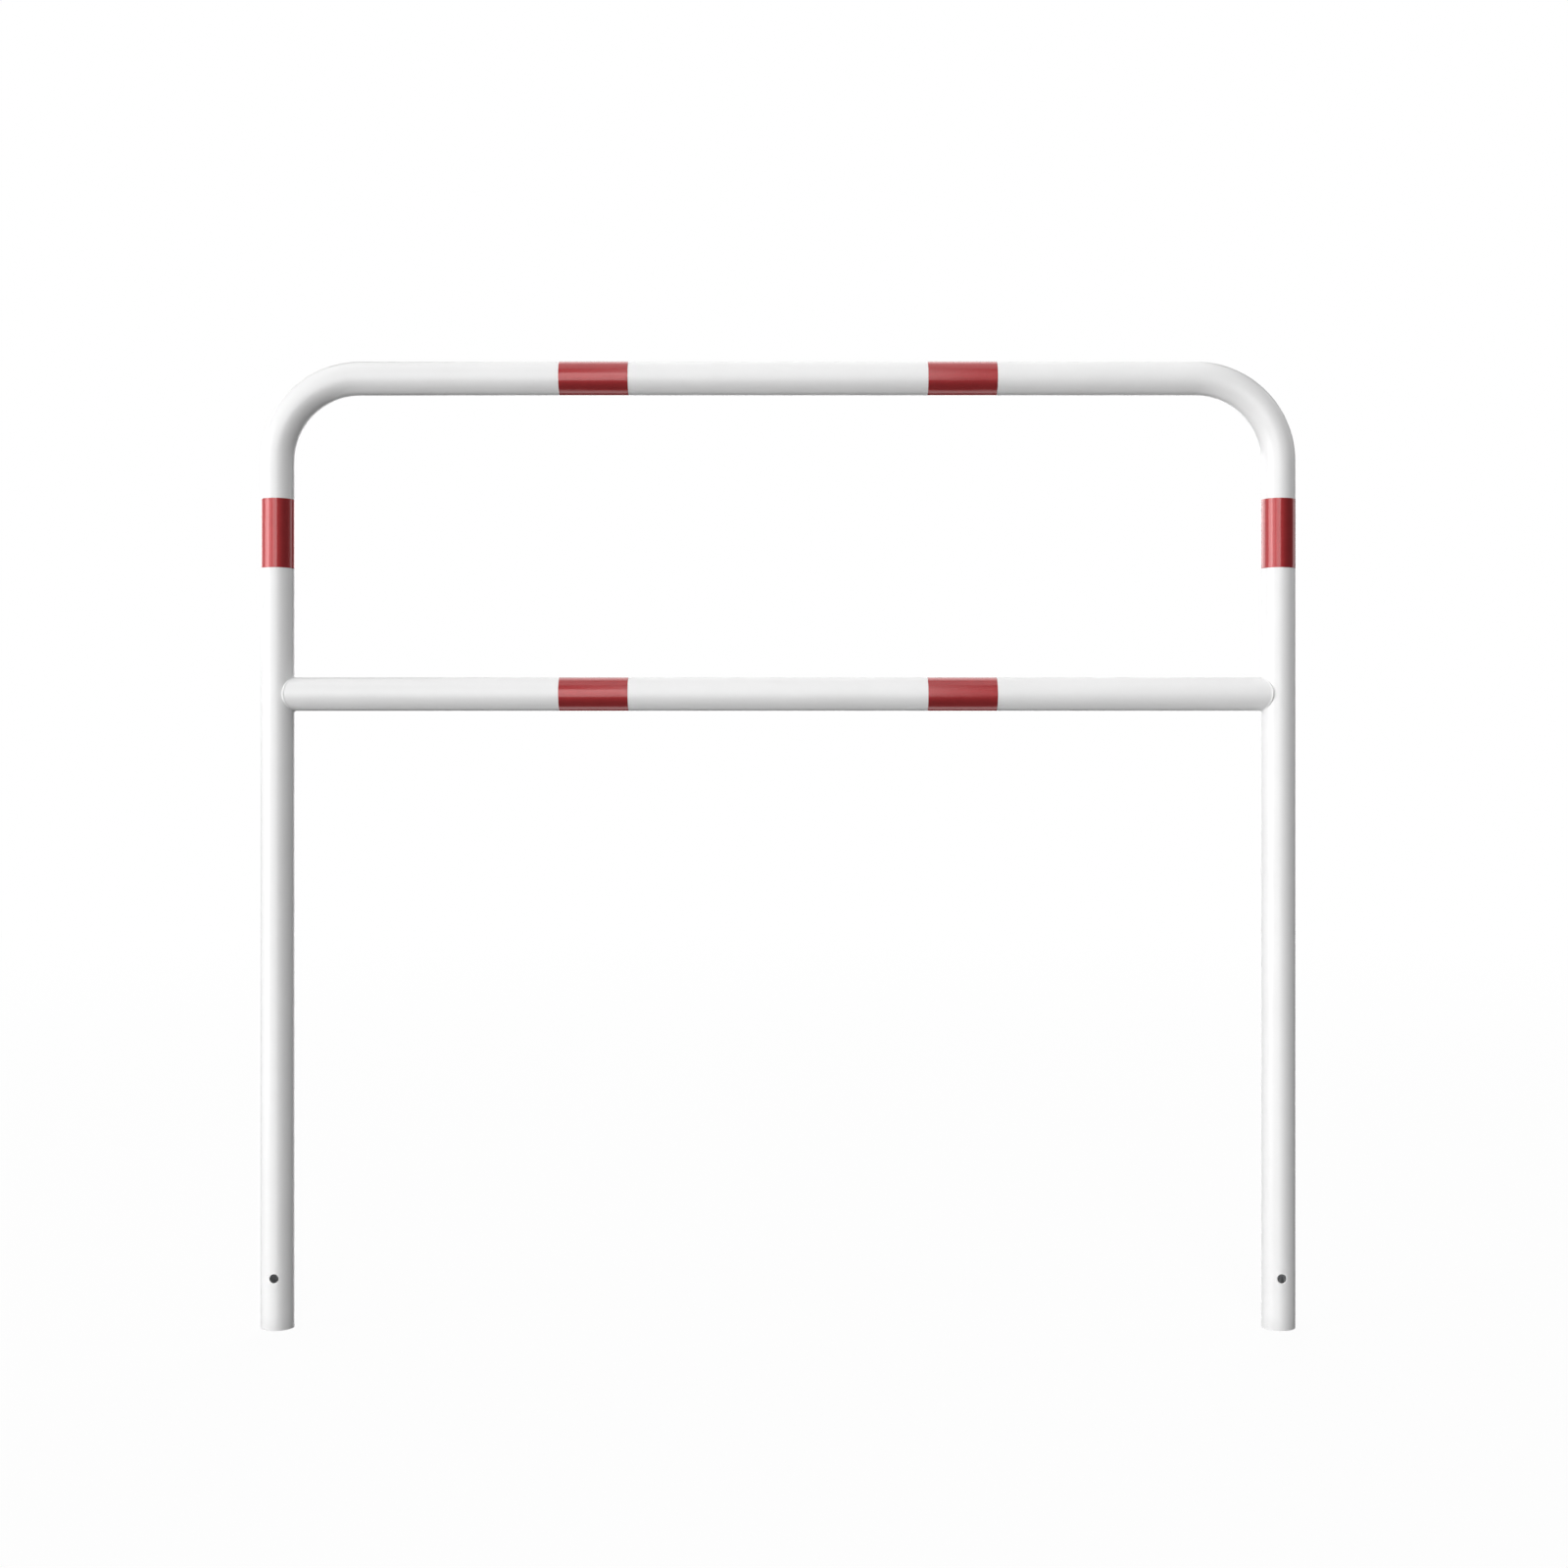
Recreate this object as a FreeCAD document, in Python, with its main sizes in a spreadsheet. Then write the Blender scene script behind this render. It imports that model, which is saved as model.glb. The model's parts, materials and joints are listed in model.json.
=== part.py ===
import FreeCAD, Part
import os
from math import acos, asin, cos, degrees, hypot, pi, radians, sin, sqrt

import Sketcher
from FreeCAD import Placement, Rotation, Vector

# Hoop barrier: a steel tube bent into an inverted U, a mid rail welded between its legs and six
# retroreflective bands. The legs are set in the ground, each held by a rod through its foot.
#
# Frame: millimetres, +Z up, X along the barrier, -Y is the front. The origin lies on the plane of
# the leg ends, midway between the legs.

# alias, value in millimetres, meaning
DIMENSIONS = [
    ("tube_dia", 48.3, "outside diameter of the hoop and of the rail"),
    ("tube_wall", 2.6, "wall thickness of both tubes"),
    ("overall_width", 1500.0, "over the outsides of the legs"),
    ("overall_height", 1400.0, "leg ends to the top of the hoop"),
    ("bend_radius", 120.0, "of the tube's centre line in both bends"),
    ("end_chamfer", 0.5, "deburred edges of the cut leg ends"),
    ("rail_height", 918.0, "leg ends to the axis of the rail"),
    ("rail_tip_gap", 12.0, "leg axis to the rounded-off tips of the rail"),
    ("anchor_hole_dia", 13.0, "through both walls of each leg, for a ground anchor rod"),
    ("anchor_hole_height", 75.0, "leg ends to the anchor holes"),
    ("vent_hole_dia", 12.0, "galvanising vent in each leg's wall, inside the rail's end"),
    ("weld_reach", 2.5, "joint line to the weld's toes, above and below the rail"),
    ("weld_leg_reach", 0.7, "joint line to the toe on the leg, at the rail's tips"),
    ("weld_rail_reach", 3.0, "joint line to the toe on the rail, at the rail's tips"),
    ("weld_throat", 1.4, "joint line to the weld's face, above and below the rail"),
    ("weld_cap", 0.4, "edge of the rail to the weld's face over it, at the rail's tips"),
    ("weld_sink", 0.3, "depth of the toes below the tubes, before the weld is trimmed to them"),
    ("weld_root", 1.5, "depth of the weld's root, before the weld is trimmed to the tubes"),
    ("band_length", 100.0, "of each reflective band, along its tube"),
    ("film_thickness", 0.4, "of the reflective film"),
    ("film_lap", 12.0, "overlap of the film's ends, round the tube"),
    ("rail_band_offset", 266.7, "middle of the barrier to the middle of a top or rail band"),
    ("leg_band_drop", 250.0, "top of the hoop to the middle of a leg band"),
]

# Derived positions, as expressions over the sheet
LEG_X = "(dims.overall_width - dims.tube_dia) / 2"
TOP_Z = "dims.overall_height - dims.tube_dia / 2"
LEG_BAND_Z = "dims.overall_height - dims.leg_band_drop"

# Radius of the arc, seen from the front, through the rail's tip and its top and bottom lines
# where they meet the leg
NOSE_RADIUS = (
    "((dims.tube_dia / 2) ^ 2 + (dims.tube_dia / 2 - dims.rail_tip_gap) ^ 2)"
    " / (dims.tube_dia - 2 * dims.rail_tip_gap)"
)

WELD_QUARTER = 12  # steps between weld sections from the rail's top line to its front line

doc = FreeCAD.newDocument("hoop_barrier")
sheet = doc.addObject("Spreadsheet::Sheet", "dims")
for row, (alias, value, meaning) in enumerate(DIMENSIONS, start=1):
    sheet.set("A%d" % row, alias)
    sheet.set("B%d" % row, str(value))
    sheet.set("C%d" % row, meaning)
    sheet.setAlias("B%d" % row, alias)
doc.recompute()


# --- helpers ----------------------------------------------------------------------------------
def new_body(label):
    body = doc.addObject("PartDesign::Body", label)
    body.Label = label
    return body


def new_sketch(body, name, plane):
    """Sketch on one of the body's own origin planes: XY_Plane, XZ_Plane or YZ_Plane."""
    sketch = body.newObject("Sketcher::SketchObject", name)
    support = next(f for f in body.Origin.OriginFeatures if f.Role == plane)
    sketch.AttachmentSupport = [(support, "")]
    sketch.MapMode = "FlatFace"
    return sketch


def fix(sketch, kind, *refs):
    """Constraint without a size."""
    return sketch.addConstraint(Sketcher.Constraint(kind, *refs))


def drive(sketch, name, expression, kind, *refs):
    """Named constraint whose size follows an expression over the sheet."""
    size = float(sketch.evalExpression(expression))
    index = sketch.addConstraint(Sketcher.Constraint(kind, *refs, size))
    sketch.renameConstraint(index, name)
    sketch.setExpression("Constraints." + name, expression)


def draw_circle(sketch, name, diameter, right=None, up=None):
    """Circle at given offsets from the sketch's origin, each an expression; None is no offset."""
    at_x = sketch.evalExpression(right) if right else 0.0
    at_y = sketch.evalExpression(up) if up else 0.0
    radius = sketch.evalExpression(diameter) / 2
    circle = Part.Circle(Vector(at_x, at_y, 0), Vector(0, 0, 1), radius)
    geo = sketch.addGeometry(circle)
    drive(sketch, name + "_dia", diameter, "Diameter", geo)
    if right:
        drive(sketch, name + "_right", right, "DistanceX", -1, 1, geo, 3)
    else:
        fix(sketch, "PointOnObject", geo, 3, -2)
    if up:
        drive(sketch, name + "_up", up, "DistanceY", -1, 1, geo, 3)
    else:
        fix(sketch, "PointOnObject", geo, 3, -1)


def cut_through(body, sketch, length=None):
    """Pocket to both sides of the sketch: right through, or over a length given as an expression."""
    doc.recompute()
    before = body.Shape.Volume
    pocket = body.newObject("PartDesign::Pocket", sketch.Name + "_cut")
    pocket.Profile = sketch
    pocket.Midplane = True
    if length:
        pocket.Type = "Length"
        pocket.setExpression("Length", length)
    else:
        pocket.Type = "ThroughAll"
    body.Tip = pocket
    doc.recompute()
    if body.Shape.Volume >= before - 1.0:
        raise RuntimeError(sketch.Name + " removes nothing")
    return pocket


# --- hoop -------------------------------------------------------------------------------------
def make_hoop():
    """One tube bent into an inverted U, with its anchor and vent holes."""
    body = new_body("hoop_tube")

    leg_x = body.evalExpression(LEG_X)
    top_z = body.evalExpression(TOP_Z)
    bend = sheet.bend_radius
    shoulder_x = leg_x - bend
    shoulder_z = top_z - bend
    crown = Vector(0, 0, 1)
    path = new_sketch(body, "hoop_path", "XZ_Plane")
    left = path.addGeometry(Part.LineSegment(Vector(-leg_x, 0, 0), Vector(-leg_x, shoulder_z, 0)))
    bend_left = path.addGeometry(
        Part.ArcOfCircle(
            Part.Circle(Vector(-shoulder_x, shoulder_z, 0), crown, bend), radians(90), radians(180)
        )
    )
    top = path.addGeometry(Part.LineSegment(Vector(-shoulder_x, top_z, 0), Vector(shoulder_x, top_z, 0)))
    bend_right = path.addGeometry(
        Part.ArcOfCircle(
            Part.Circle(Vector(shoulder_x, shoulder_z, 0), crown, bend), radians(0), radians(90)
        )
    )
    right = path.addGeometry(Part.LineSegment(Vector(leg_x, shoulder_z, 0), Vector(leg_x, 0, 0)))
    fix(path, "Tangent", left, 2, bend_left, 2)
    fix(path, "Tangent", bend_left, 1, top, 1)
    fix(path, "Tangent", top, 2, bend_right, 2)
    fix(path, "Tangent", bend_right, 1, right, 1)
    fix(path, "Vertical", left)
    fix(path, "Vertical", right)
    fix(path, "Equal", bend_left, bend_right)
    fix(path, "PointOnObject", left, 1, -1)
    fix(path, "Symmetric", left, 1, right, 2, -1, 1)
    drive(path, "leg_spacing", "dims.overall_width - dims.tube_dia", "DistanceX", left, 1, right, 2)
    drive(path, "top_axis", TOP_Z, "DistanceY", left, 1, top, 1)
    drive(path, "bend", "dims.bend_radius", "Radius", bend_left)

    section = new_sketch(body, "hoop_section", "XY_Plane")
    draw_circle(section, "outside", "dims.tube_dia", right="-" + LEG_X)
    draw_circle(section, "inside", "dims.tube_dia - 2 * dims.tube_wall", right="-" + LEG_X)
    doc.recompute()

    tube = body.newObject("PartDesign::AdditivePipe", "bent_tube")
    tube.Profile = section
    tube.Spine = path
    body.Tip = tube
    doc.recompute()

    end_edges = [
        "Edge%d" % number
        for number, edge in enumerate(tube.Shape.Edges, start=1)
        if edge.BoundBox.ZMax < 0.001
    ]
    chamfer = body.newObject("PartDesign::Chamfer", "end_chamfers")
    chamfer.Base = (tube, end_edges)
    chamfer.setExpression("Size", "dims.end_chamfer")
    body.Tip = chamfer

    anchors = new_sketch(body, "anchor_holes", "XZ_Plane")
    for name, side in (("left", "-"), ("right", "")):
        draw_circle(anchors, name, "dims.anchor_hole_dia", side + LEG_X, "dims.anchor_hole_height")
    cut_through(body, anchors)

    # Cut from leg axis to leg axis, so only the walls that face each other are drilled.
    vents = new_sketch(body, "vent_holes", "YZ_Plane")
    draw_circle(vents, "vent", "dims.vent_hole_dia", up="dims.rail_height")
    cut_through(body, vents, "dims.overall_width - dims.tube_dia")
    return body


# --- mid rail ---------------------------------------------------------------------------------
def draw_nose_cut(sketch, name, side):
    """Outline of what is cut away to round off one end of the rail, seen from the front.

    side is -1 for the left end and 1 for the right.
    """
    sign = "-" if side < 0 else ""
    half_height = "0.55 * dims.tube_dia"  # a little past the rail's own radius
    leg_x = side * sketch.evalExpression(LEG_X)
    radius = sketch.evalExpression(NOSE_RADIUS)
    centre = Vector(leg_x - side * (sheet.rail_tip_gap + radius), sheet.rail_height, 0)
    middle = 0 if side > 0 else pi
    spread = asin(sketch.evalExpression(half_height) / radius)
    arc = sketch.addGeometry(
        Part.ArcOfCircle(
            Part.Circle(centre, Vector(0, 0, 1), radius), middle - spread, middle + spread
        )
    )
    start = centre + radius * Vector(cos(middle - spread), sin(middle - spread), 0)
    stop = centre + radius * Vector(cos(middle + spread), sin(middle + spread), 0)
    out = sketch.addGeometry(Part.LineSegment(stop, Vector(leg_x, stop.y, 0)))
    across = sketch.addGeometry(Part.LineSegment(Vector(leg_x, stop.y, 0), Vector(leg_x, start.y, 0)))
    back = sketch.addGeometry(Part.LineSegment(Vector(leg_x, start.y, 0), start))
    fix(sketch, "Coincident", arc, 2, out, 1)
    fix(sketch, "Coincident", out, 2, across, 1)
    fix(sketch, "Coincident", across, 2, back, 1)
    fix(sketch, "Coincident", back, 2, arc, 1)
    fix(sketch, "Horizontal", out)
    fix(sketch, "Vertical", across)
    fix(sketch, "Horizontal", back)
    upper, lower = ((out, 1), (back, 2)) if side > 0 else ((back, 2), (out, 1))
    centre_x = "%s(%s - dims.rail_tip_gap - %s)" % (sign, LEG_X, NOSE_RADIUS)
    drive(sketch, name + "_radius", NOSE_RADIUS, "Radius", arc)
    drive(sketch, name + "_centre_x", centre_x, "DistanceX", -1, 1, arc, 3)
    drive(sketch, name + "_centre_z", "dims.rail_height", "DistanceY", -1, 1, arc, 3)
    drive(sketch, name + "_leg", sign + LEG_X, "DistanceX", -1, 1, across, 1)
    drive(sketch, name + "_above", half_height, "DistanceY", arc, 3, *upper)
    drive(sketch, name + "_below", half_height, "DistanceY", *lower, arc, 3)


def make_rail():
    """Straight tube, each end saddled to a leg and its tips rounded off."""
    body = new_body("mid_rail")
    section = new_sketch(body, "rail_section", "YZ_Plane")
    draw_circle(section, "outside", "dims.tube_dia", up="dims.rail_height")
    draw_circle(section, "inside", "dims.tube_dia - 2 * dims.tube_wall", up="dims.rail_height")
    doc.recompute()

    tube = body.newObject("PartDesign::Pad", "rail_tube")
    tube.Profile = section
    tube.Midplane = True
    tube.setExpression("Length", "dims.overall_width - dims.tube_dia")
    body.Tip = tube

    saddles = new_sketch(body, "saddles", "XY_Plane")
    noses = new_sketch(body, "noses", "XZ_Plane")
    for name, side in (("left", -1), ("right", 1)):
        sign = "-" if side < 0 else ""
        draw_circle(saddles, name, "dims.tube_dia", right=sign + LEG_X)
        draw_nose_cut(noses, name, side)
    cut_through(body, saddles)
    cut_through(body, noses)
    return body


# --- welds ------------------------------------------------------------------------------------
def joint_line(turn):
    """Where rail and leg meet, at an angle round the rail from its top line, at most a quarter.

    The leg runs along Z and the rail along +X, both through the origin. Returns the height, the
    distance from the leg's axis along the rail, and the matching angle round the leg. The line
    follows the rounded nose of the rail.
    """
    radius = sheet.tube_dia / 2
    nose = sheet.evalExpression(NOSE_RADIUS)
    height = radius * cos(turn)
    reach = sheet.rail_tip_gap + nose - sqrt(nose**2 - height**2)
    around = acos(min(1.0, reach / radius)) * (1 if turn >= 0 else -1)
    return height, reach, around


def on_leg(around, height, radius):
    return Vector(radius * cos(around), -radius * sin(around), height)


def on_rail(turn, reach, radius):
    return Vector(reach, -radius * sin(turn), radius * cos(turn))


def weld_corners(turn):
    """Toe on the rail, middle of the face, toe on the leg and root of the weld at a joint angle."""
    radius = sheet.tube_dia / 2
    sunk = radius - sheet.weld_sink
    height, reach, around = joint_line(turn)

    def eased(at_top, at_tip):
        """Size that changes smoothly from the rail's top line to its tip."""
        return at_tip + (at_top - at_tip) * cos(turn) ** 4

    # Direction of the joint line on each unrolled tube; the toes lie square to it.
    step = 1e-5
    before = joint_line(turn - step)
    after = joint_line(turn + step)
    slope_up = (after[0] - before[0]) / (2 * step)
    slope_out = (after[1] - before[1]) / (2 * step)
    slope_round = radius * (after[2] - before[2]) / (2 * step)

    leg_run = eased(sheet.weld_reach, sheet.weld_leg_reach) / hypot(slope_up, slope_round)
    leg_toe = on_leg(around - slope_up * leg_run / radius, height + slope_round * leg_run, sunk)
    rail_run = eased(sheet.weld_reach, sheet.weld_rail_reach) / hypot(slope_out, radius)
    rail_toe = on_rail(turn - slope_out * rail_run / radius, reach + radius * rail_run, sunk)

    outward = (on_leg(around, 0, 1) + on_rail(turn, 0, 1)).normalize()
    face = on_rail(turn, reach, radius) + outward * eased(sheet.weld_throat, sheet.weld_cap)
    root = on_leg(around, height, radius) - outward * sheet.weld_root
    return rail_toe, face, leg_toe, root


def rail_end():
    """Solid rail with the rounded nose, its leg's axis through the origin, to trim a weld with."""
    radius = sheet.tube_dia / 2
    nose = sheet.evalExpression(NOSE_RADIUS)
    centre = sheet.rail_tip_gap + nose
    bar = Part.makeCylinder(radius, centre + nose, Vector(0, 0, 0), Vector(1, 0, 0))
    disc = Part.makeCylinder(nose, sheet.tube_dia, Vector(centre, radius, 0), Vector(0, -1, 0))
    return bar.common(disc)


def make_weld(label, side):
    """Fillet weld round one end of the rail; side is -1 for the left leg and 1 for the right."""
    quarter = [weld_corners(pi / 2 * i / WELD_QUARTER) for i in range(WELD_QUARTER + 1)]
    flipped = [[Vector(p.x, p.y, -p.z) for p in corners] for corners in reversed(quarter[:-1])]
    front = quarter + flipped
    back = [[Vector(p.x, -p.y, p.z) for p in corners] for corners in reversed(front[1:-1])]
    sections = []
    for rail_toe, face, leg_toe, root in front + back:
        curve = Part.BezierCurve()
        curve.setPoles([rail_toe, face * 2 - (rail_toe + leg_toe) / 2, leg_toe])
        under_leg = Part.makeLine(leg_toe, root)
        under_rail = Part.makeLine(root, rail_toe)
        sections.append(Part.Wire([curve.toShape(), under_leg, under_rail]))
    ring = Part.makeLoft(sections, True, False, True)

    radius = sheet.tube_dia / 2
    leg = Part.makeCylinder(radius, 4 * sheet.tube_dia, Vector(0, 0, -2 * sheet.tube_dia))
    weld = doc.addObject("Part::Feature", label)
    weld.Label = label
    weld.Shape = ring.cut([leg, rail_end()])
    weld.Placement = Placement(
        Vector(side * sheet.evalExpression(LEG_X), 0, sheet.rail_height),
        Rotation(Vector(0, 0, 1), 90 * (1 + side)),
    )
    return weld


# --- reflective bands -------------------------------------------------------------------------
def make_band(label, x, z, along_x):
    """Film wrapped once round a tube, its ends lapped at the back. x and z are expressions."""
    body = new_body(label)
    tube = sheet.tube_dia / 2
    single = tube + sheet.film_thickness
    double = single + sheet.film_thickness
    half_lap = degrees(sheet.film_lap / 2 / tube)

    # Drawn with the lap centred on +Y, which is the back for a band round either kind of tube.
    profile = new_sketch(body, label + "_profile", "XY_Plane")
    centre = Vector(0, 0, 0)
    axis = Vector(0, 0, 1)
    lap_ends = (radians(90 - half_lap), radians(90 + half_lap))
    lap = profile.addGeometry(Part.ArcOfCircle(Part.Circle(centre, axis, double), *lap_ends))
    wrap = profile.addGeometry(
        Part.ArcOfCircle(Part.Circle(centre, axis, single), lap_ends[1], lap_ends[0] + 2 * pi)
    )
    steps = []
    for end in lap_ends:
        outward = Vector(cos(end), sin(end), 0)
        steps.append(profile.addGeometry(Part.LineSegment(outward * single, outward * double)))
    fix(profile, "Coincident", lap, 3, -1, 1)
    fix(profile, "Coincident", wrap, 3, -1, 1)
    fix(profile, "Coincident", steps[0], 1, wrap, 2)
    fix(profile, "Coincident", steps[0], 2, lap, 1)
    fix(profile, "Coincident", steps[1], 1, wrap, 1)
    fix(profile, "Coincident", steps[1], 2, lap, 2)
    fix(profile, "PointOnObject", -1, 1, steps[0])
    fix(profile, "Symmetric", lap, 1, lap, 2, -2)
    drive(profile, "single", "dims.tube_dia / 2 + dims.film_thickness", "Radius", wrap)
    drive(profile, "double", "dims.tube_dia / 2 + 2 * dims.film_thickness", "Radius", lap)
    drive(profile, "lap", "dims.film_lap", "DistanceX", lap, 2, lap, 1)
    draw_circle(profile, "tube", "dims.tube_dia")
    doc.recompute()

    film = body.newObject("PartDesign::Pad", label + "_film")
    film.Profile = profile
    film.Midplane = True
    film.setExpression("Length", "dims.band_length")
    body.Tip = film
    doc.recompute()
    if along_x:
        body.Placement = Placement(Vector(0, 0, 0), Rotation(Vector(0, 1, 0), 90))
    body.setExpression("Placement.Base.x", x)
    body.setExpression("Placement.Base.z", z)
    return body


# --- assembly ---------------------------------------------------------------------------------
parts = [
    make_hoop(),
    make_rail(),
    make_weld("weld_left", -1),
    make_weld("weld_right", 1),
]
for end, side in (("left", "-"), ("right", "")):
    offset = side + "dims.rail_band_offset"
    parts.append(make_band("band_top_" + end, offset, TOP_Z, True))
    parts.append(make_band("band_rail_" + end, offset, "dims.rail_height", True))
    parts.append(make_band("band_leg_" + end, side + LEG_X, LEG_BAND_Z, False))
doc.recompute()

for obj in doc.Objects:
    if "Invalid" in obj.State or "Error" in obj.State:
        raise RuntimeError("%s: %s" % (obj.Name, obj.State))

os.makedirs("parts", exist_ok=True)
for part in parts:
    shape = part.Shape
    if shape.isNull() or not shape.isValid() or len(shape.Solids) != 1:
        raise RuntimeError(part.Label + " is not one valid solid")
    shape.exportStep("parts/" + part.Label + ".step")
    box = shape.BoundBox
    print(
        "%-16s %10.1f mm3  x %8.2f %8.2f  y %7.2f %7.2f  z %8.2f %8.2f"
        % (part.Label, shape.Volume, box.XMin, box.XMax, box.YMin, box.YMax, box.ZMin, box.ZMax)
    )
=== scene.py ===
import json
from math import acos, asin, cos, hypot, pi, radians, sin, sqrt, tan

import bmesh
import bpy
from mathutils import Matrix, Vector, noise


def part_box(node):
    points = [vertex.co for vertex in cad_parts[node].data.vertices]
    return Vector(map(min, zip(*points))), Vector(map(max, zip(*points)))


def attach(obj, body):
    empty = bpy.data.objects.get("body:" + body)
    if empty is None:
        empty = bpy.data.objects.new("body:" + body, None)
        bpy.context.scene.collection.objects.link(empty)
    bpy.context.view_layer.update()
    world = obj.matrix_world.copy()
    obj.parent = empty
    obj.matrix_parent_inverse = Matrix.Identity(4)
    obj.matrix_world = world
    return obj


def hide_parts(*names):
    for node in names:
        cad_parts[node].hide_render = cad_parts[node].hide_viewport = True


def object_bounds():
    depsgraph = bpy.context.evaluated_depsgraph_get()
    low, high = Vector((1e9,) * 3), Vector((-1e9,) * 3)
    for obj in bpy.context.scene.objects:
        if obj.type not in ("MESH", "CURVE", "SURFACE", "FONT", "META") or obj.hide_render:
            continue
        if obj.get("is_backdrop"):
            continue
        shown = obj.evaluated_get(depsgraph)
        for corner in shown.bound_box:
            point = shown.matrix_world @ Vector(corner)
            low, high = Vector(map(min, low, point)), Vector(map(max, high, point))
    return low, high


# Looks of the hoop barrier: a bent tube and a welded mid rail in white powder coat, painted weld
# beads and six bands of red reflective film. Metres, +Z up, X along the barrier, -Y is the front.

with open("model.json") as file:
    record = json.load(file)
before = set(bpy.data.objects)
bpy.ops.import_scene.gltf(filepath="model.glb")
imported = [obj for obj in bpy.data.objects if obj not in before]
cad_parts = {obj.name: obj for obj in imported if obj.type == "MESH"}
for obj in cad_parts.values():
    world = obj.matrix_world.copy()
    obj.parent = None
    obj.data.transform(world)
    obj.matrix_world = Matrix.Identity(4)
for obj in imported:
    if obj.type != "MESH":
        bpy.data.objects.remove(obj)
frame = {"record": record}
cad_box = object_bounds()

# --- sizes ------------------------------------------------------------------------------------
hoop_low, hoop_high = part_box("hoop_tube")
rail_low, rail_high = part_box("mid_rail")
mounts = {mount["name"]: mount for mount in frame["record"]["mounts"]}

TUBE_R = (hoop_high.y - hoop_low.y) / 2
WALL = 0.0026
BORE_R = TUBE_R - WALL
BEND_R = 0.120
LEG_X = (hoop_high.x - hoop_low.x) / 2 - TUBE_R
TOP_Z = hoop_high.z - TUBE_R
RAIL_Z = (rail_low.z + rail_high.z) / 2
TIP_GAP = LEG_X - rail_high.x  # leg axis to the rail's tips

# Arc, seen from the front, through the rail's tip and its top and bottom lines at the leg
NOSE_R = (TUBE_R**2 + (TUBE_R - TIP_GAP) ** 2) / (2 * (TUBE_R - TIP_GAP))

ANCHOR_R = mounts["anchor_hole_left"]["dims"]["r_mm"] / 1000
ANCHOR_Z = mounts["anchor_hole_left"]["pos_m"][2]
VENT_R = 0.006
COAT_EDGE = 0.0005  # rounding that the coating gives a cut edge

WELD_REACH = 0.0025  # joint line to either toe, above and below the rail
WELD_LEG_REACH = 0.0007  # joint line to the toe on the leg, at the rail's tips
WELD_RAIL_REACH = 0.0030  # joint line to the toe on the rail, at the rail's tips
WELD_THROAT = 0.0014  # joint line to the weld's face, above and below the rail
WELD_CAP = 0.0004  # edge of the rail to the weld's face over it, at the rail's tips
WELD_SINK = 0.0003  # depth of the toes below the tubes' surface
WELD_ROOT = 0.0015  # depth of the root below the joint line
WELD_PITCH = 0.0028  # between the ripples
WELD_RIPPLE = 0.00008  # height of a ripple above and below the face
WELD_NOISE = 260.0  # noise cells per metre, for uneven ripples

FILM = 0.0004  # thickness
FILM_LAP = 0.012  # overlap of the film's ends, round the tube
FILM_ROW = 0.005  # longest cell along a band
FILM_RAMP = 0.0025  # where the top layer climbs on to the hidden start of the film
FILM_SKEW = 0.0005  # how far the two layers miss each other at the lap
FILM_EDGE = 0.0001  # bevel of the film's cut edges, and its underside's depth in the tube

# --- mesh resolution --------------------------------------------------------------------------
AROUND = 96  # columns round a tube
HOLE_SIDE = 12  # cells along each side of the square patch round a hole
BEND_STEPS = 40  # rings along a bend
ROW = 0.024  # longest cell along a straight run
SADDLE_CLEAR = 0.002  # shaped end of the rail to its first plain ring, along the top line
WELD_STATIONS = 480  # sections round a weld
WELD_FACE = 10  # cells across a weld's face
SHARP = radians(40)  # edges that turn more than this are shaded sharp

FRONT = Vector((0, -1, 0))
BACK = Vector((0, 1, 0))
RIGHT = Vector((1, 0, 0))
UP = Vector((0, 0, 1))


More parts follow.
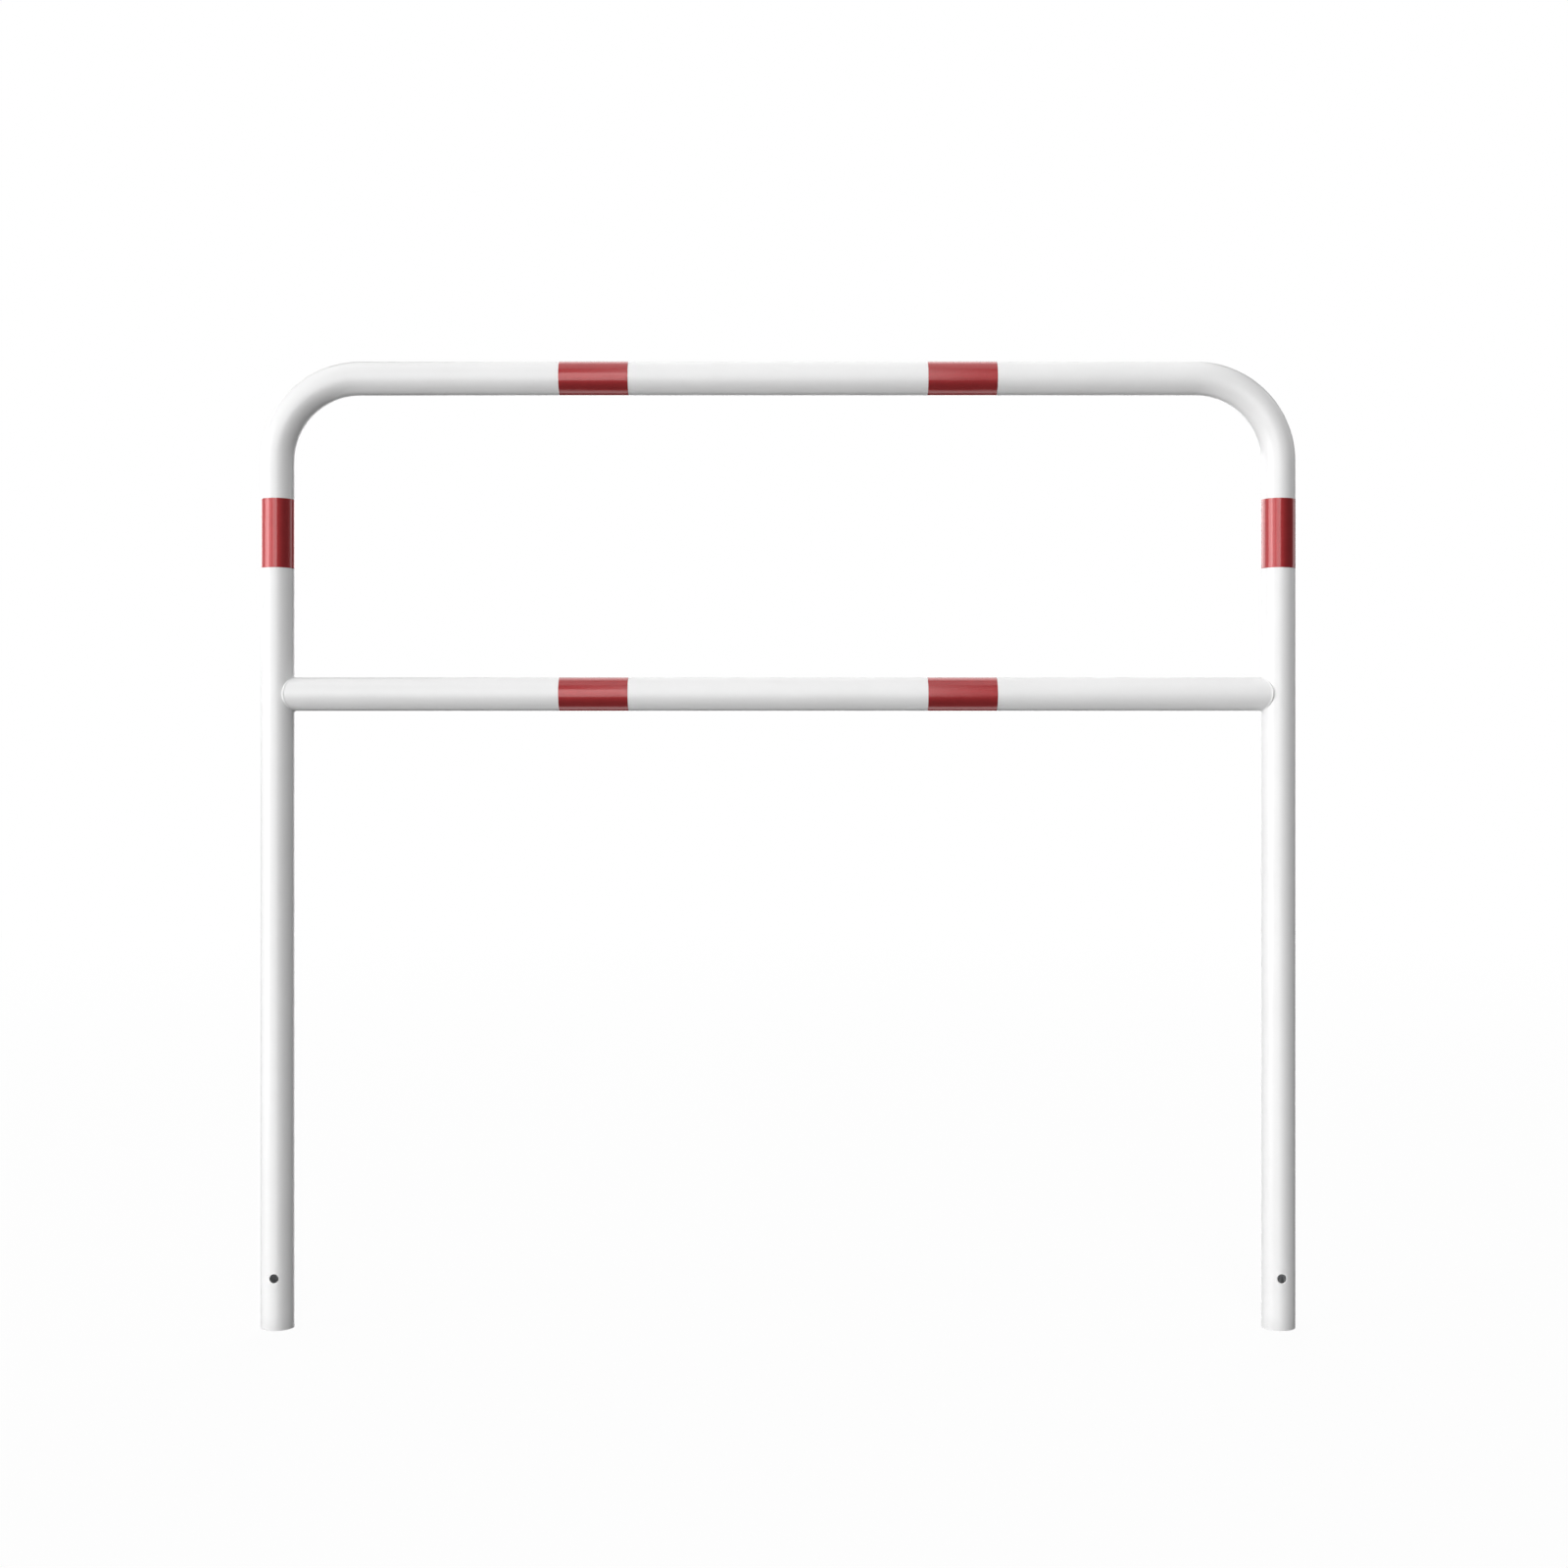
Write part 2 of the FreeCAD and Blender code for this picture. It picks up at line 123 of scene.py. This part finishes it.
# --- materials --------------------------------------------------------------------------------
class Material:
    """Node material with object coordinates, built round one Principled shader."""

    def __init__(self, name):
        self.made = bpy.data.materials.new(name)
        self.made.use_nodes = True
        self.nodes = self.made.node_tree.nodes
        self.shader = self.nodes["Principled BSDF"]
        self.place = self.nodes.new("ShaderNodeTexCoord").outputs["Object"]

    def link(self, source, target):
        self.made.node_tree.links.new(source, target)

    def set(self, **values):
        """Sockets of the shader by name, with underscores for spaces."""
        for name, value in values.items():
            self.shader.inputs[name.replace("_", " ")].default_value = value

    def noise(self, scale, detail=2.0, rough=0.5, seed=0.0):
        node = self.nodes.new("ShaderNodeTexNoise")
        node.noise_dimensions = "4D"
        node.inputs["W"].default_value = seed
        node.inputs["Scale"].default_value = scale
        node.inputs["Detail"].default_value = detail
        node.inputs["Roughness"].default_value = rough
        self.link(self.place, node.inputs["Vector"])
        return node.outputs["Fac"]

    def cells(self, scale, output="Distance"):
        node = self.nodes.new("ShaderNodeTexVoronoi")
        node.inputs["Scale"].default_value = scale
        self.link(self.place, node.inputs["Vector"])
        return node.outputs[output]

    def ramp(self, source, *stops):
        """Colours at positions along a 0 to 1 value."""
        node = self.nodes.new("ShaderNodeValToRGB")
        while len(node.color_ramp.elements) < len(stops):
            node.color_ramp.elements.new(0.5)
        for element, (position, colour) in zip(node.color_ramp.elements, stops):
            element.position = position
            element.color = (*colour, 1.0)
        self.link(source, node.inputs["Fac"])
        return node.outputs["Color"]

    def spread(self, source, low, high, start=0.3, end=0.7):
        """A 0 to 1 value stretched from start..end to low..high."""
        node = self.nodes.new("ShaderNodeMapRange")
        for name, value in (
            ("From Min", start),
            ("From Max", end),
            ("To Min", low),
            ("To Max", high),
        ):
            node.inputs[name].default_value = value
        self.link(source, node.inputs["Value"])
        return node.outputs["Result"]

    def bump(self, height, distance, under=None):
        node = self.nodes.new("ShaderNodeBump")
        node.inputs["Distance"].default_value = distance
        self.link(height, node.inputs["Height"])
        if under:
            self.link(under, node.inputs["Normal"])
        return node.outputs["Normal"]


def powder_coat():
    """Satin white powder coat: faint orange peel, slight change of white and of gloss."""
    coat = Material("white_powder_coat")
    white = coat.ramp(
        coat.noise(9.0, 4.0, 0.6),
        (0.30, (0.825, 0.825, 0.825)),
        (0.70, (0.855, 0.855, 0.855)),
    )
    coat.link(white, coat.shader.inputs["Base Color"])
    coat.link(coat.spread(coat.noise(40.0, 3.0, 0.6, 2.0), 0.30, 0.38), coat.shader.inputs["Roughness"])
    peel = coat.bump(coat.noise(420.0, 2.0, 0.5, 1.0), 0.00004)
    grit = coat.bump(coat.noise(2600.0, 1.0, 0.5, 3.0), 0.000004, peel)
    coat.link(grit, coat.shader.inputs["Normal"])
    coat.set(IOR=1.5)
    return coat.made


def zinc():
    """Bare galvanised steel inside the tubes: dull spangle."""
    metal = Material("galvanised_bore")
    spangle = metal.ramp(
        metal.cells(160.0, "Color"),
        (0.2, (0.76, 0.77, 0.78)),
        (0.8, (0.86, 0.87, 0.88)),
    )
    metal.link(spangle, metal.shader.inputs["Base Color"])
    metal.link(metal.spread(metal.noise(220.0, 4.0), 0.45, 0.65), metal.shader.inputs["Roughness"])
    metal.link(metal.bump(metal.noise(700.0, 3.0), 0.00005), metal.shader.inputs["Normal"])
    metal.set(Metallic=0.2)
    return metal.made


def red_film():
    """Glossy red reflective film: a clear smooth top over beads with a metallic back."""
    film = Material("red_reflective_film")
    red = film.ramp(
        film.noise(60.0, 5.0, 0.65),
        (0.30, (0.385, 0.028, 0.032)),
        (0.70, (0.425, 0.034, 0.038)),
    )
    film.link(red, film.shader.inputs["Base Color"])
    film.link(film.spread(film.noise(300.0, 3.0, 0.6, 2.0), 0.56, 0.64), film.shader.inputs["Roughness"])
    film.link(film.bump(film.cells(1800.0), 0.00002), film.shader.inputs["Normal"])
    film.set(Metallic=0.75, Coat_Weight=1.0, Coat_Roughness=0.14, Coat_IOR=1.5)
    return film.made


white_coat = powder_coat()
bare_zinc = zinc()
film_red = red_film()
COATED, BARE = 0, 1  # material slots of a tube


# --- mesh building ----------------------------------------------------------------------------
class Shell:
    """Mesh made of rings of vertices with quads between them."""

    def __init__(self, name):
        self.name = name
        self.mesh = bmesh.new()

    def ring(self, points):
        return [self.mesh.verts.new(point) for point in points]

    def quad(self, corners, slot=0):
        face = self.mesh.faces.new(corners)
        face.material_index = slot
        face.smooth = True

    def skin(self, one, two, slot=0, skip=()):
        """Quads between two closed rings, leaving out the columns in skip."""
        for i in range(len(one)):
            if i not in skip:
                j = (i + 1) % len(one)
                self.quad((one[i], one[j], two[j], two[i]), slot)

    def loft(self, rings, slot=0, closed=False):
        for one, two in zip(rings, rings[1:] + (rings[:1] if closed else [])):
            self.skin(one, two, slot)

    def finish(self, nodes, slot, *materials):
        """Object that stands for CAD nodes and rides on the one body."""
        bmesh.ops.recalc_face_normals(self.mesh, faces=self.mesh.faces)
        for edge in self.mesh.edges:
            edge.smooth = edge.calc_face_angle(0) < SHARP
        data = bpy.data.meshes.new(self.name)
        self.mesh.to_mesh(data)
        self.mesh.free()
        for material in materials:
            data.materials.append(material)
        made = bpy.data.objects.new(self.name, data)
        bpy.context.collection.objects.link(made)
        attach(made, "root")
        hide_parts(*nodes)
        return made


def spaced(start, stop, step):
    """Even values from start up to, not including, stop."""
    count = max(1, round(abs(stop - start) / step))
    return [start + (stop - start) * i / count for i in range(count)]


def tube_ring(shell, centre, outward, radius):
    """Ring round a centre line: column 0 faces outward, a quarter turn on faces the front."""
    angles = [2 * pi * i / AROUND for i in range(AROUND)]
    return shell.ring(centre + radius * (cos(a) * outward + sin(a) * FRONT) for a in angles)


# --- hoop -------------------------------------------------------------------------------------
FRONT_COLUMN = AROUND // 4
INNER_COLUMN = AROUND // 2
BACK_COLUMN = 3 * AROUND // 4
PATCH = HOLE_SIDE // 2  # columns or rows from a hole's middle to its patch's edge
PATCH_HALF = TUBE_R * 2 * pi / AROUND * PATCH


def leg_heights():
    """Heights of the rings up a leg, fine where a hole is."""
    rows = spaced(COAT_EDGE, ANCHOR_Z - PATCH_HALF, ROW)
    rows += spaced(ANCHOR_Z - PATCH_HALF, ANCHOR_Z + PATCH_HALF, 2 * PATCH_HALF / HOLE_SIDE)
    rows += spaced(ANCHOR_Z + PATCH_HALF, RAIL_Z - PATCH_HALF, ROW)
    rows += spaced(RAIL_Z - PATCH_HALF, RAIL_Z + PATCH_HALF, 2 * PATCH_HALF / HOLE_SIDE)
    rows += spaced(RAIL_Z + PATCH_HALF, TOP_Z - BEND_R, ROW)
    return rows


def hoop_stations():
    """Centre and outward direction of each ring, from the left foot over the top to the right."""
    corner = Vector((LEG_X - BEND_R, 0, TOP_Z - BEND_R))
    half = [(Vector((LEG_X, 0, z)), RIGHT) for z in leg_heights()]
    for i in range(BEND_STEPS):
        angle = pi / 2 * i / BEND_STEPS
        outward = cos(angle) * RIGHT + sin(angle) * UP
        half.append((corner + BEND_R * outward, outward))
    half += [(Vector((x, 0, TOP_Z)), UP) for x in spaced(corner.x, 0, ROW)]
    mirror = Vector((-1, 1, 1))
    left = [(centre * mirror, outward * mirror) for centre, outward in half]
    return left + [(Vector((0, 0, TOP_Z)), UP)] + half[::-1]


def matching_angle(u, v):
    """Angle round a circle that goes with the point (u, v) on the edge of a square about it."""
    if abs(v) >= abs(u):
        return (pi / 2 if v > 0 else -pi / 2) - pi / 4 * u / v
    return (0 if u > 0 else pi) + pi / 4 * v / u


def patch_edge(rings, rows, column):
    """Vertices round a square patch in order, each with its column from the middle."""
    side = range(-PATCH, PATCH)
    steps = [(u, -PATCH) for u in side] + [(PATCH, v) for v in side]
    steps += [(-u, PATCH) for u in side] + [(-PATCH, -v) for v in side]
    return [(u, rings[rows[v + PATCH]][(column + u) % AROUND]) for u, v in steps]


def hole_rim(shell, rings, rows, column, radius, hole_r, edge, sink, slot):
    """Fills a square patch of a leg's wall round a drilled hole and returns the hole's own loop.

    edge is the radius that rounds the hole's rim.
    sink is 1 if the hole runs inward from this face of the wall and -1 if it runs outward.
    """
    middle = rings[rows[PATCH]]
    facing = middle[column].co - middle[(column + INNER_COLUMN) % AROUND].co
    facing.normalize()
    axis = middle[column].co - radius * facing
    quarter = middle[(column + FRONT_COLUMN) % AROUND].co - axis
    sideways = quarter.normalized()
    square = patch_edge(rings, rows, column)

    def at(across, up, depth):
        height = sqrt(radius**2 - across**2) - depth
        return axis + facing * height + sideways * across + UP * up

    loops = [[vert for _, vert in square]]
    outer_r = hole_r + edge
    for part in (0.3, 0.6, 0.85, 1.0):
        points = []
        for u, vert in square:
            rise = vert.co.z - axis.z
            around = 2 * pi / AROUND * u
            angle = matching_angle(u, PATCH * rise / PATCH_HALF)
            rim_around = asin(outer_r * cos(angle) / radius)
            turn = around + (rim_around - around) * part
            up = rise + (outer_r * sin(angle) - rise) * part
            points.append(at(radius * sin(turn), up, 0))
        loops.append(shell.ring(points))
    for bend in (pi / 6, pi / 3, pi / 2):
        points = []
        for u, vert in square:
            angle = matching_angle(u, PATCH * (vert.co.z - axis.z) / PATCH_HALF)
            rim_r = hole_r + edge * (1 - sin(bend))
            depth = sink * edge * (1 - cos(bend))
            points.append(at(rim_r * cos(angle), rim_r * sin(angle), depth))
        loops.append(shell.ring(points))
    shell.loft(loops, slot)
    return loops[-1]


def make_hoop():
    """Bent tube with its anchor and vent holes and rounded cut ends."""
    shell = Shell("hoop_tube_coated")
    stations = hoop_stations()
    outer = [tube_ring(shell, centre, outward, TUBE_R) for centre, outward in stations]
    inner = [tube_ring(shell, centre, outward, BORE_R) for centre, outward in stations]

    heights = leg_heights()
    last = len(stations) - 1
    holes = []
    for z, hole_r, columns in (
        (ANCHOR_Z, ANCHOR_R, (FRONT_COLUMN, BACK_COLUMN)),
        (RAIL_Z, VENT_R, (INNER_COLUMN,)),
    ):
        low = min(range(len(heights)), key=lambda i: abs(heights[i] - (z - PATCH_HALF)))
        rows = list(range(low, low + HOLE_SIDE + 1))
        for column in columns:
            holes.append((rows, column, hole_r))
            holes.append(([last - row for row in rows], column, hole_r))

    skipped = {}
    for rows, column, hole_r in holes:
        for row in sorted(rows)[:-1]:
            cut = skipped.setdefault(row, set())
            cut.update((column + u) % AROUND for u in range(-PATCH, PATCH))
    for row in range(last):
        cut = skipped.get(row, ())
        shell.skin(outer[row], outer[row + 1], COATED, cut)
        shell.skin(inner[row], inner[row + 1], BARE, cut)

    for rows, column, hole_r in holes:
        outside = hole_rim(shell, outer, rows, column, TUBE_R, hole_r, COAT_EDGE, 1, COATED)
        inside = hole_rim(shell, inner, rows, column, BORE_R, hole_r, COAT_EDGE / 2, -1, BARE)
        shell.skin(outside, inside, COATED)

    for end in (0, last):
        centre, outward = stations[end]
        foot = Vector((centre.x, 0, 0))
        lip = [outer[end]]
        for bend in (pi / 6, pi / 3, pi / 2):
            radius = TUBE_R - COAT_EDGE * (1 - cos(bend))
            height = COAT_EDGE * (1 - sin(bend))
            lip.append(tube_ring(shell, foot + UP * height, outward, radius))
        for bend in (pi / 2, pi / 3, pi / 6):
            radius = BORE_R + COAT_EDGE * (1 - cos(bend))
            height = COAT_EDGE * (1 - sin(bend))
            lip.append(tube_ring(shell, foot + UP * height, outward, radius))
        lip.append(inner[end])
        shell.loft(lip, COATED)
    return shell.finish(["hoop_tube"], "white_powder_coat", white_coat, bare_zinc)


# --- mid rail ---------------------------------------------------------------------------------
def nose_reach(height):
    """Distance from the leg's axis to the rail's rounded nose, at a height from the rail's axis."""
    return TIP_GAP + NOSE_R - sqrt(NOSE_R**2 - height**2)


def saddle_ring(shell, side, radius):
    """Ring at one end of the rail, fitted to the leg's round side, with the tips rounded off."""
    points = []
    for i in range(AROUND):
        angle = 2 * pi * i / AROUND
        depth = radius * sin(angle)
        height = radius * cos(angle)
        reach = max(sqrt(max(TUBE_R**2 - depth**2, 0.0)), nose_reach(height))
        points.append(Vector((side * (LEG_X - reach), -depth, RAIL_Z + height)))
    return shell.ring(points)


def make_rail():
    """Straight tube with a shaped ring at each end."""
    shell = Shell("mid_rail_coated")
    straight = LEG_X - TUBE_R - SADDLE_CLEAR
    walls = []
    for radius, slot in ((TUBE_R, COATED), (BORE_R, BARE)):
        rings = [saddle_ring(shell, -1, radius)]
        for x in spaced(-straight, straight, ROW) + [straight]:
            rings.append(tube_ring(shell, Vector((x, 0, RAIL_Z)), UP, radius))
        rings.append(saddle_ring(shell, 1, radius))
        shell.loft(rings, slot)
        walls.append(rings)
    outer, inner = walls
    shell.skin(outer[0], inner[0], BARE)
    shell.skin(outer[-1], inner[-1], BARE)
    return shell.finish(["mid_rail"], "white_powder_coat", white_coat, bare_zinc)


# --- welds ------------------------------------------------------------------------------------
def joint_line(turn):
    """Where rail and leg meet, at an angle round the rail from its top line, at most a quarter.

    The leg runs along Z and the rail along +X, both through the origin. Returns the height, the
    distance from the leg's axis along the rail, and the matching angle round the leg.
    """
    height = TUBE_R * cos(turn)
    reach = nose_reach(height)
    around = acos(min(1.0, reach / TUBE_R)) * (1 if turn >= 0 else -1)
    return height, reach, around


def on_leg(around, height, radius):
    return Vector((radius * cos(around), -radius * sin(around), height))


def on_rail(turn, reach, radius):
    return Vector((reach, -radius * sin(turn), radius * cos(turn)))


def weld_corners(turn):
    """Toe on the rail, middle of the face, toe on the leg and root of the weld at a joint angle."""
    sunk = TUBE_R - WELD_SINK
    height, reach, around = joint_line(turn)

    def eased(at_top, at_tip):
        return at_tip + (at_top - at_tip) * cos(turn) ** 4

    # Direction of the joint line on each unrolled tube; the toes lie square to it.
    step = 1e-5
    before = joint_line(turn - step)
    after = joint_line(turn + step)
    slope_up = (after[0] - before[0]) / (2 * step)
    slope_out = (after[1] - before[1]) / (2 * step)
    slope_round = TUBE_R * (after[2] - before[2]) / (2 * step)

    leg_run = eased(WELD_REACH, WELD_LEG_REACH) / hypot(slope_up, slope_round)
    leg_toe = on_leg(around - slope_up * leg_run / TUBE_R, height + slope_round * leg_run, sunk)
    rail_run = eased(WELD_REACH, WELD_RAIL_REACH) / hypot(slope_out, TUBE_R)
    rail_toe = on_rail(turn - slope_out * rail_run / TUBE_R, reach + TUBE_R * rail_run, sunk)

    outward = (on_leg(around, 0, 1) + on_rail(turn, 0, 1)).normalized()
    face = on_rail(turn, reach, TUBE_R) + outward * eased(WELD_THROAT, WELD_CAP)
    root = on_leg(around, height, TUBE_R) - outward * WELD_ROOT
    return rail_toe, face, leg_toe, root


def make_weld(name, side):
    """Painted fillet weld round one end of the rail; side is -1 for the left leg, 1 for the right."""
    shell = Shell(name + "_coated")
    place = Vector((side * LEG_X, 0, RAIL_Z))
    rings = []
    length = 0.0
    last = None
    for i in range(WELD_STATIONS):
        turn = 2 * pi * i / WELD_STATIONS
        rail_toe, face, leg_toe, root = weld_corners(acos(min(1.0, abs(cos(turn)))))
        flip = Vector((1, 1 if sin(turn) >= 0 else -1, 1 if cos(turn) >= 0 else -1))
        crest = face * flip
        length += (crest - last).length if last else 0.0
        last = crest
        uneven = noise.noise(crest * WELD_NOISE + RIGHT * side * 9.0)
        ripple = WELD_RIPPLE * (cos(2 * pi * length / WELD_PITCH) + 2.0 * uneven)
        middle = (rail_toe + leg_toe) / 2
        rise = face - middle + (face - root).normalized() * ripple
        section = []
        for k in range(WELD_FACE + 1):
            t = k / WELD_FACE
            section.append(rail_toe.lerp(leg_toe, t) + 4 * t * (1 - t) * rise)
        section.append(root)
        rings.append(
            shell.ring(
                place + Vector((-side * p.x, p.y * flip.y, p.z * flip.z)) for p in section
            )
        )
    shell.loft(rings, COATED, closed=True)
    return shell.finish([name], "white_powder_coat", white_coat)


# --- reflective bands -------------------------------------------------------------------------
def film_profile():
    """Angle from the middle of the lap and outer radius of the film, once round the tube."""
    single = TUBE_R + FILM
    double = single + FILM
    half = FILM_LAP / 2 / TUBE_R
    ramp = FILM_RAMP / TUBE_R
    profile = [(half, single), (half, double - FILM_EDGE), (half - FILM_EDGE / TUBE_R, double)]
    profile += [(half * (1 - i / 4), double) for i in range(1, 8)]
    for i in range(7):
        t = i / 6
        ease = t * t * (3 - 2 * t)
        profile.append((-half - ramp * t, double - FILM * ease))
    start = -half - ramp
    stop = half - 2 * pi
    count = round(AROUND * (start - stop) / (2 * pi))
    profile += [(start + (stop - start) * i / count, single) for i in range(1, count)]
    return profile


def make_band(name):
    """Film wrapped once round its tube, lapped at the back, the lap slightly out of line."""
    low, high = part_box(name)
    size = high - low
    along_x = size.x > size.z
    centre = (low + high) / 2
    centre.y = 0
    axis, side = (RIGHT, UP) if along_x else (UP, RIGHT)
    half = (size.x if along_x else size.z) / 2
    profile = film_profile()

    shell = Shell(name + "_film")
    under = TUBE_R - FILM_EDGE

    def ring(along, inset, covered=False):
        points = []
        for angle, radius in profile:
            shift = FILM_SKEW * (angle / (2 * pi) + 0.5)
            reach = under if covered else radius - inset
            out = cos(angle) * BACK + sin(angle) * side
            points.append(centre + (along + shift) * axis + reach * out)
        return shell.ring(points)

    inner_end = half - FILM_EDGE
    stations = spaced(-inner_end, inner_end, FILM_ROW) + [inner_end]
    rings = [ring(-half, FILM_EDGE)]
    rings += [ring(along, 0) for along in stations]
    rings += [ring(half, FILM_EDGE), ring(half, 0, True), ring(-half, 0, True)]
    shell.loft(rings, closed=True)
    return shell.finish([name], "red_reflective_film", film_red)


make_hoop()
make_rail()
make_weld("weld_left", -1)
make_weld("weld_right", 1)
for place in ("top", "rail", "leg"):
    for end in ("left", "right"):
        make_band("band_%s_%s" % (place, end))


# --- stage, light and camera ------------------------------------------------------------------
STAGE_R = 30.0
TARGET = Vector((0, 0, 0.75))  # near the middle of the object; the softboxes face it
LIGHT_AWAY = 24.0  # far enough that the legs are lit evenly from top to foot


def stage_material(name, build):
    made = bpy.data.materials.new(name)
    made.use_nodes = True
    nodes = made.node_tree.nodes
    nodes.clear()
    output = nodes.new("ShaderNodeOutputMaterial")
    build(nodes, made.node_tree.links, output.inputs["Surface"])
    return made


def backdrop_shader(nodes, links, surface):
    glow = nodes.new("ShaderNodeEmission")
    links.new(glow.outputs["Emission"], surface)


def floor_shader(nodes, links, surface):
    """Pale floor near the object, fading to the backdrop's white, and clear from below."""
    paint = nodes.new("ShaderNodeBsdfDiffuse")
    paint.inputs["Color"].default_value = (0.9, 0.9, 0.9, 1)
    glow = nodes.new("ShaderNodeEmission")
    place = nodes.new("ShaderNodeTexCoord")
    far = nodes.new("ShaderNodeVectorMath")
    far.operation = "LENGTH"
    fade = nodes.new("ShaderNodeMapRange")
    fade.interpolation_type = "SMOOTHSTEP"
    fade.inputs["From Min"].default_value = 1.0
    fade.inputs["From Max"].default_value = 9.0
    fade.inputs["To Min"].default_value = 0.93
    fade.inputs["To Max"].default_value = 1.0
    blend = nodes.new("ShaderNodeMixShader")
    facing = nodes.new("ShaderNodeNewGeometry")
    clear = nodes.new("ShaderNodeBsdfTransparent")
    sided = nodes.new("ShaderNodeMixShader")
    links.new(place.outputs["Object"], far.inputs[0])
    links.new(far.outputs["Value"], fade.inputs["Value"])
    links.new(fade.outputs["Result"], blend.inputs["Fac"])
    links.new(paint.outputs["BSDF"], blend.inputs[1])
    links.new(glow.outputs["Emission"], blend.inputs[2])
    links.new(facing.outputs["Backfacing"], sided.inputs["Fac"])
    links.new(blend.outputs["Shader"], sided.inputs[1])
    links.new(clear.outputs["BSDF"], sided.inputs[2])
    links.new(sided.outputs["Shader"], surface)


def stage_piece(name, mesh, material):
    """Part of the set: seen by the camera, but throws no light back on the object."""
    data = bpy.data.meshes.new(name)
    mesh.to_mesh(data)
    mesh.free()
    data.materials.append(material)
    made = bpy.data.objects.new(name, data)
    bpy.context.collection.objects.link(made)
    made.visible_diffuse = False
    made.visible_glossy = False
    made.visible_shadow = False
    made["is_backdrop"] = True


dome = bmesh.new()
bmesh.ops.create_uvsphere(dome, u_segments=64, v_segments=32, radius=STAGE_R)
bmesh.ops.reverse_faces(dome, faces=dome.faces)
stage_piece("backdrop", dome, stage_material("backdrop_white", backdrop_shader))

floor = bmesh.new()
bmesh.ops.create_circle(floor, cap_ends=True, segments=96, radius=STAGE_R * 0.99)
stage_piece("floor", floor, stage_material("floor_pale", floor_shader))


def softbox(name, azimuths, elevations, brightness):
    """Rectangular light that fills a range of directions, in degrees.

    Azimuth 0 is in front of the object and 90 is to its right. brightness is the light's radiance.
    """
    azimuth, width = sum(azimuths) / 2, azimuths[1] - azimuths[0]
    elevation, height = sum(elevations) / 2, elevations[1] - elevations[0]
    a, e = radians(azimuth), radians(elevation)
    away = Vector((sin(a) * cos(e), -cos(a) * cos(e), sin(e)))
    data = bpy.data.lights.new(name, "AREA")
    data.shape = "RECTANGLE"
    data.size = 2 * LIGHT_AWAY * tan(radians(width / 2)) * cos(e)
    data.size_y = 2 * LIGHT_AWAY * tan(radians(height / 2))
    data.energy = brightness * pi * data.size * data.size_y
    made = bpy.data.objects.new(name, data)
    made.location = TARGET + away * LIGHT_AWAY
    made.rotation_mode = "QUATERNION"
    made.rotation_quaternion = away.to_track_quat("Z", "Y")
    made.visible_camera = False
    bpy.context.collection.objects.link(made)


def flat_light(name, height, size, brightness, behind=0.0):
    """Square light that faces down from above TARGET, or up from below it if height is negative.

    behind moves it that far towards the back.
    """
    data = bpy.data.lights.new(name, "AREA")
    data.shape = "SQUARE"
    data.size = size
    data.energy = brightness * pi * size**2
    made = bpy.data.objects.new(name, data)
    made.location = TARGET + UP * height + BACK * behind
    made.rotation_euler = (0 if height > 0 else pi, 0, 0)
    made.visible_camera = False
    bpy.context.collection.objects.link(made)


softbox("key", (-80, -50), (-10, 20), 5.2)
softbox("left_wide", (-60, -30), (-10, 20), 2.5)
softbox("left_edge", (-110, -85), (-10, 20), 0.8)
softbox("front_left", (-25, -5), (-20, 30), 3.0)
softbox("front_strip", (-5, 5), (-20, 60), 3.7)
softbox("back_left", (-160, -110), (5, 20), 4.0)
softbox("back", (150, 190), (-20, 20), 2.5)
softbox("back_right", (100, 125), (0, 45), 1.4)
softbox("back_top", (160, 195), (30, 65), 1.8)
flat_light("overhead", 20.0, 22.5, 1.2)
flat_light("floor_bounce", -16.0, 10.0, 1.5, 7.0)

world = bpy.data.worlds.new("studio")
world.use_nodes = True
world.node_tree.nodes["Background"].inputs["Color"].default_value = (1, 1, 1, 1)
world.node_tree.nodes["Background"].inputs["Strength"].default_value = 0.06
bpy.context.scene.world = world
bpy.context.scene.view_settings.view_transform = "Standard"

lens = bpy.data.cameras.new("camera")
lens.lens = 50.0
lens.sensor_width = 36.0
camera = bpy.data.objects.new("camera", lens)
camera.location = (0.0087, -3.160, 0.7877)
camera.rotation_euler = (radians(90), 0, 0)
bpy.context.collection.objects.link(camera)
bpy.context.scene.camera = camera

[[list(corner) for corner in box] for box in (cad_box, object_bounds())]
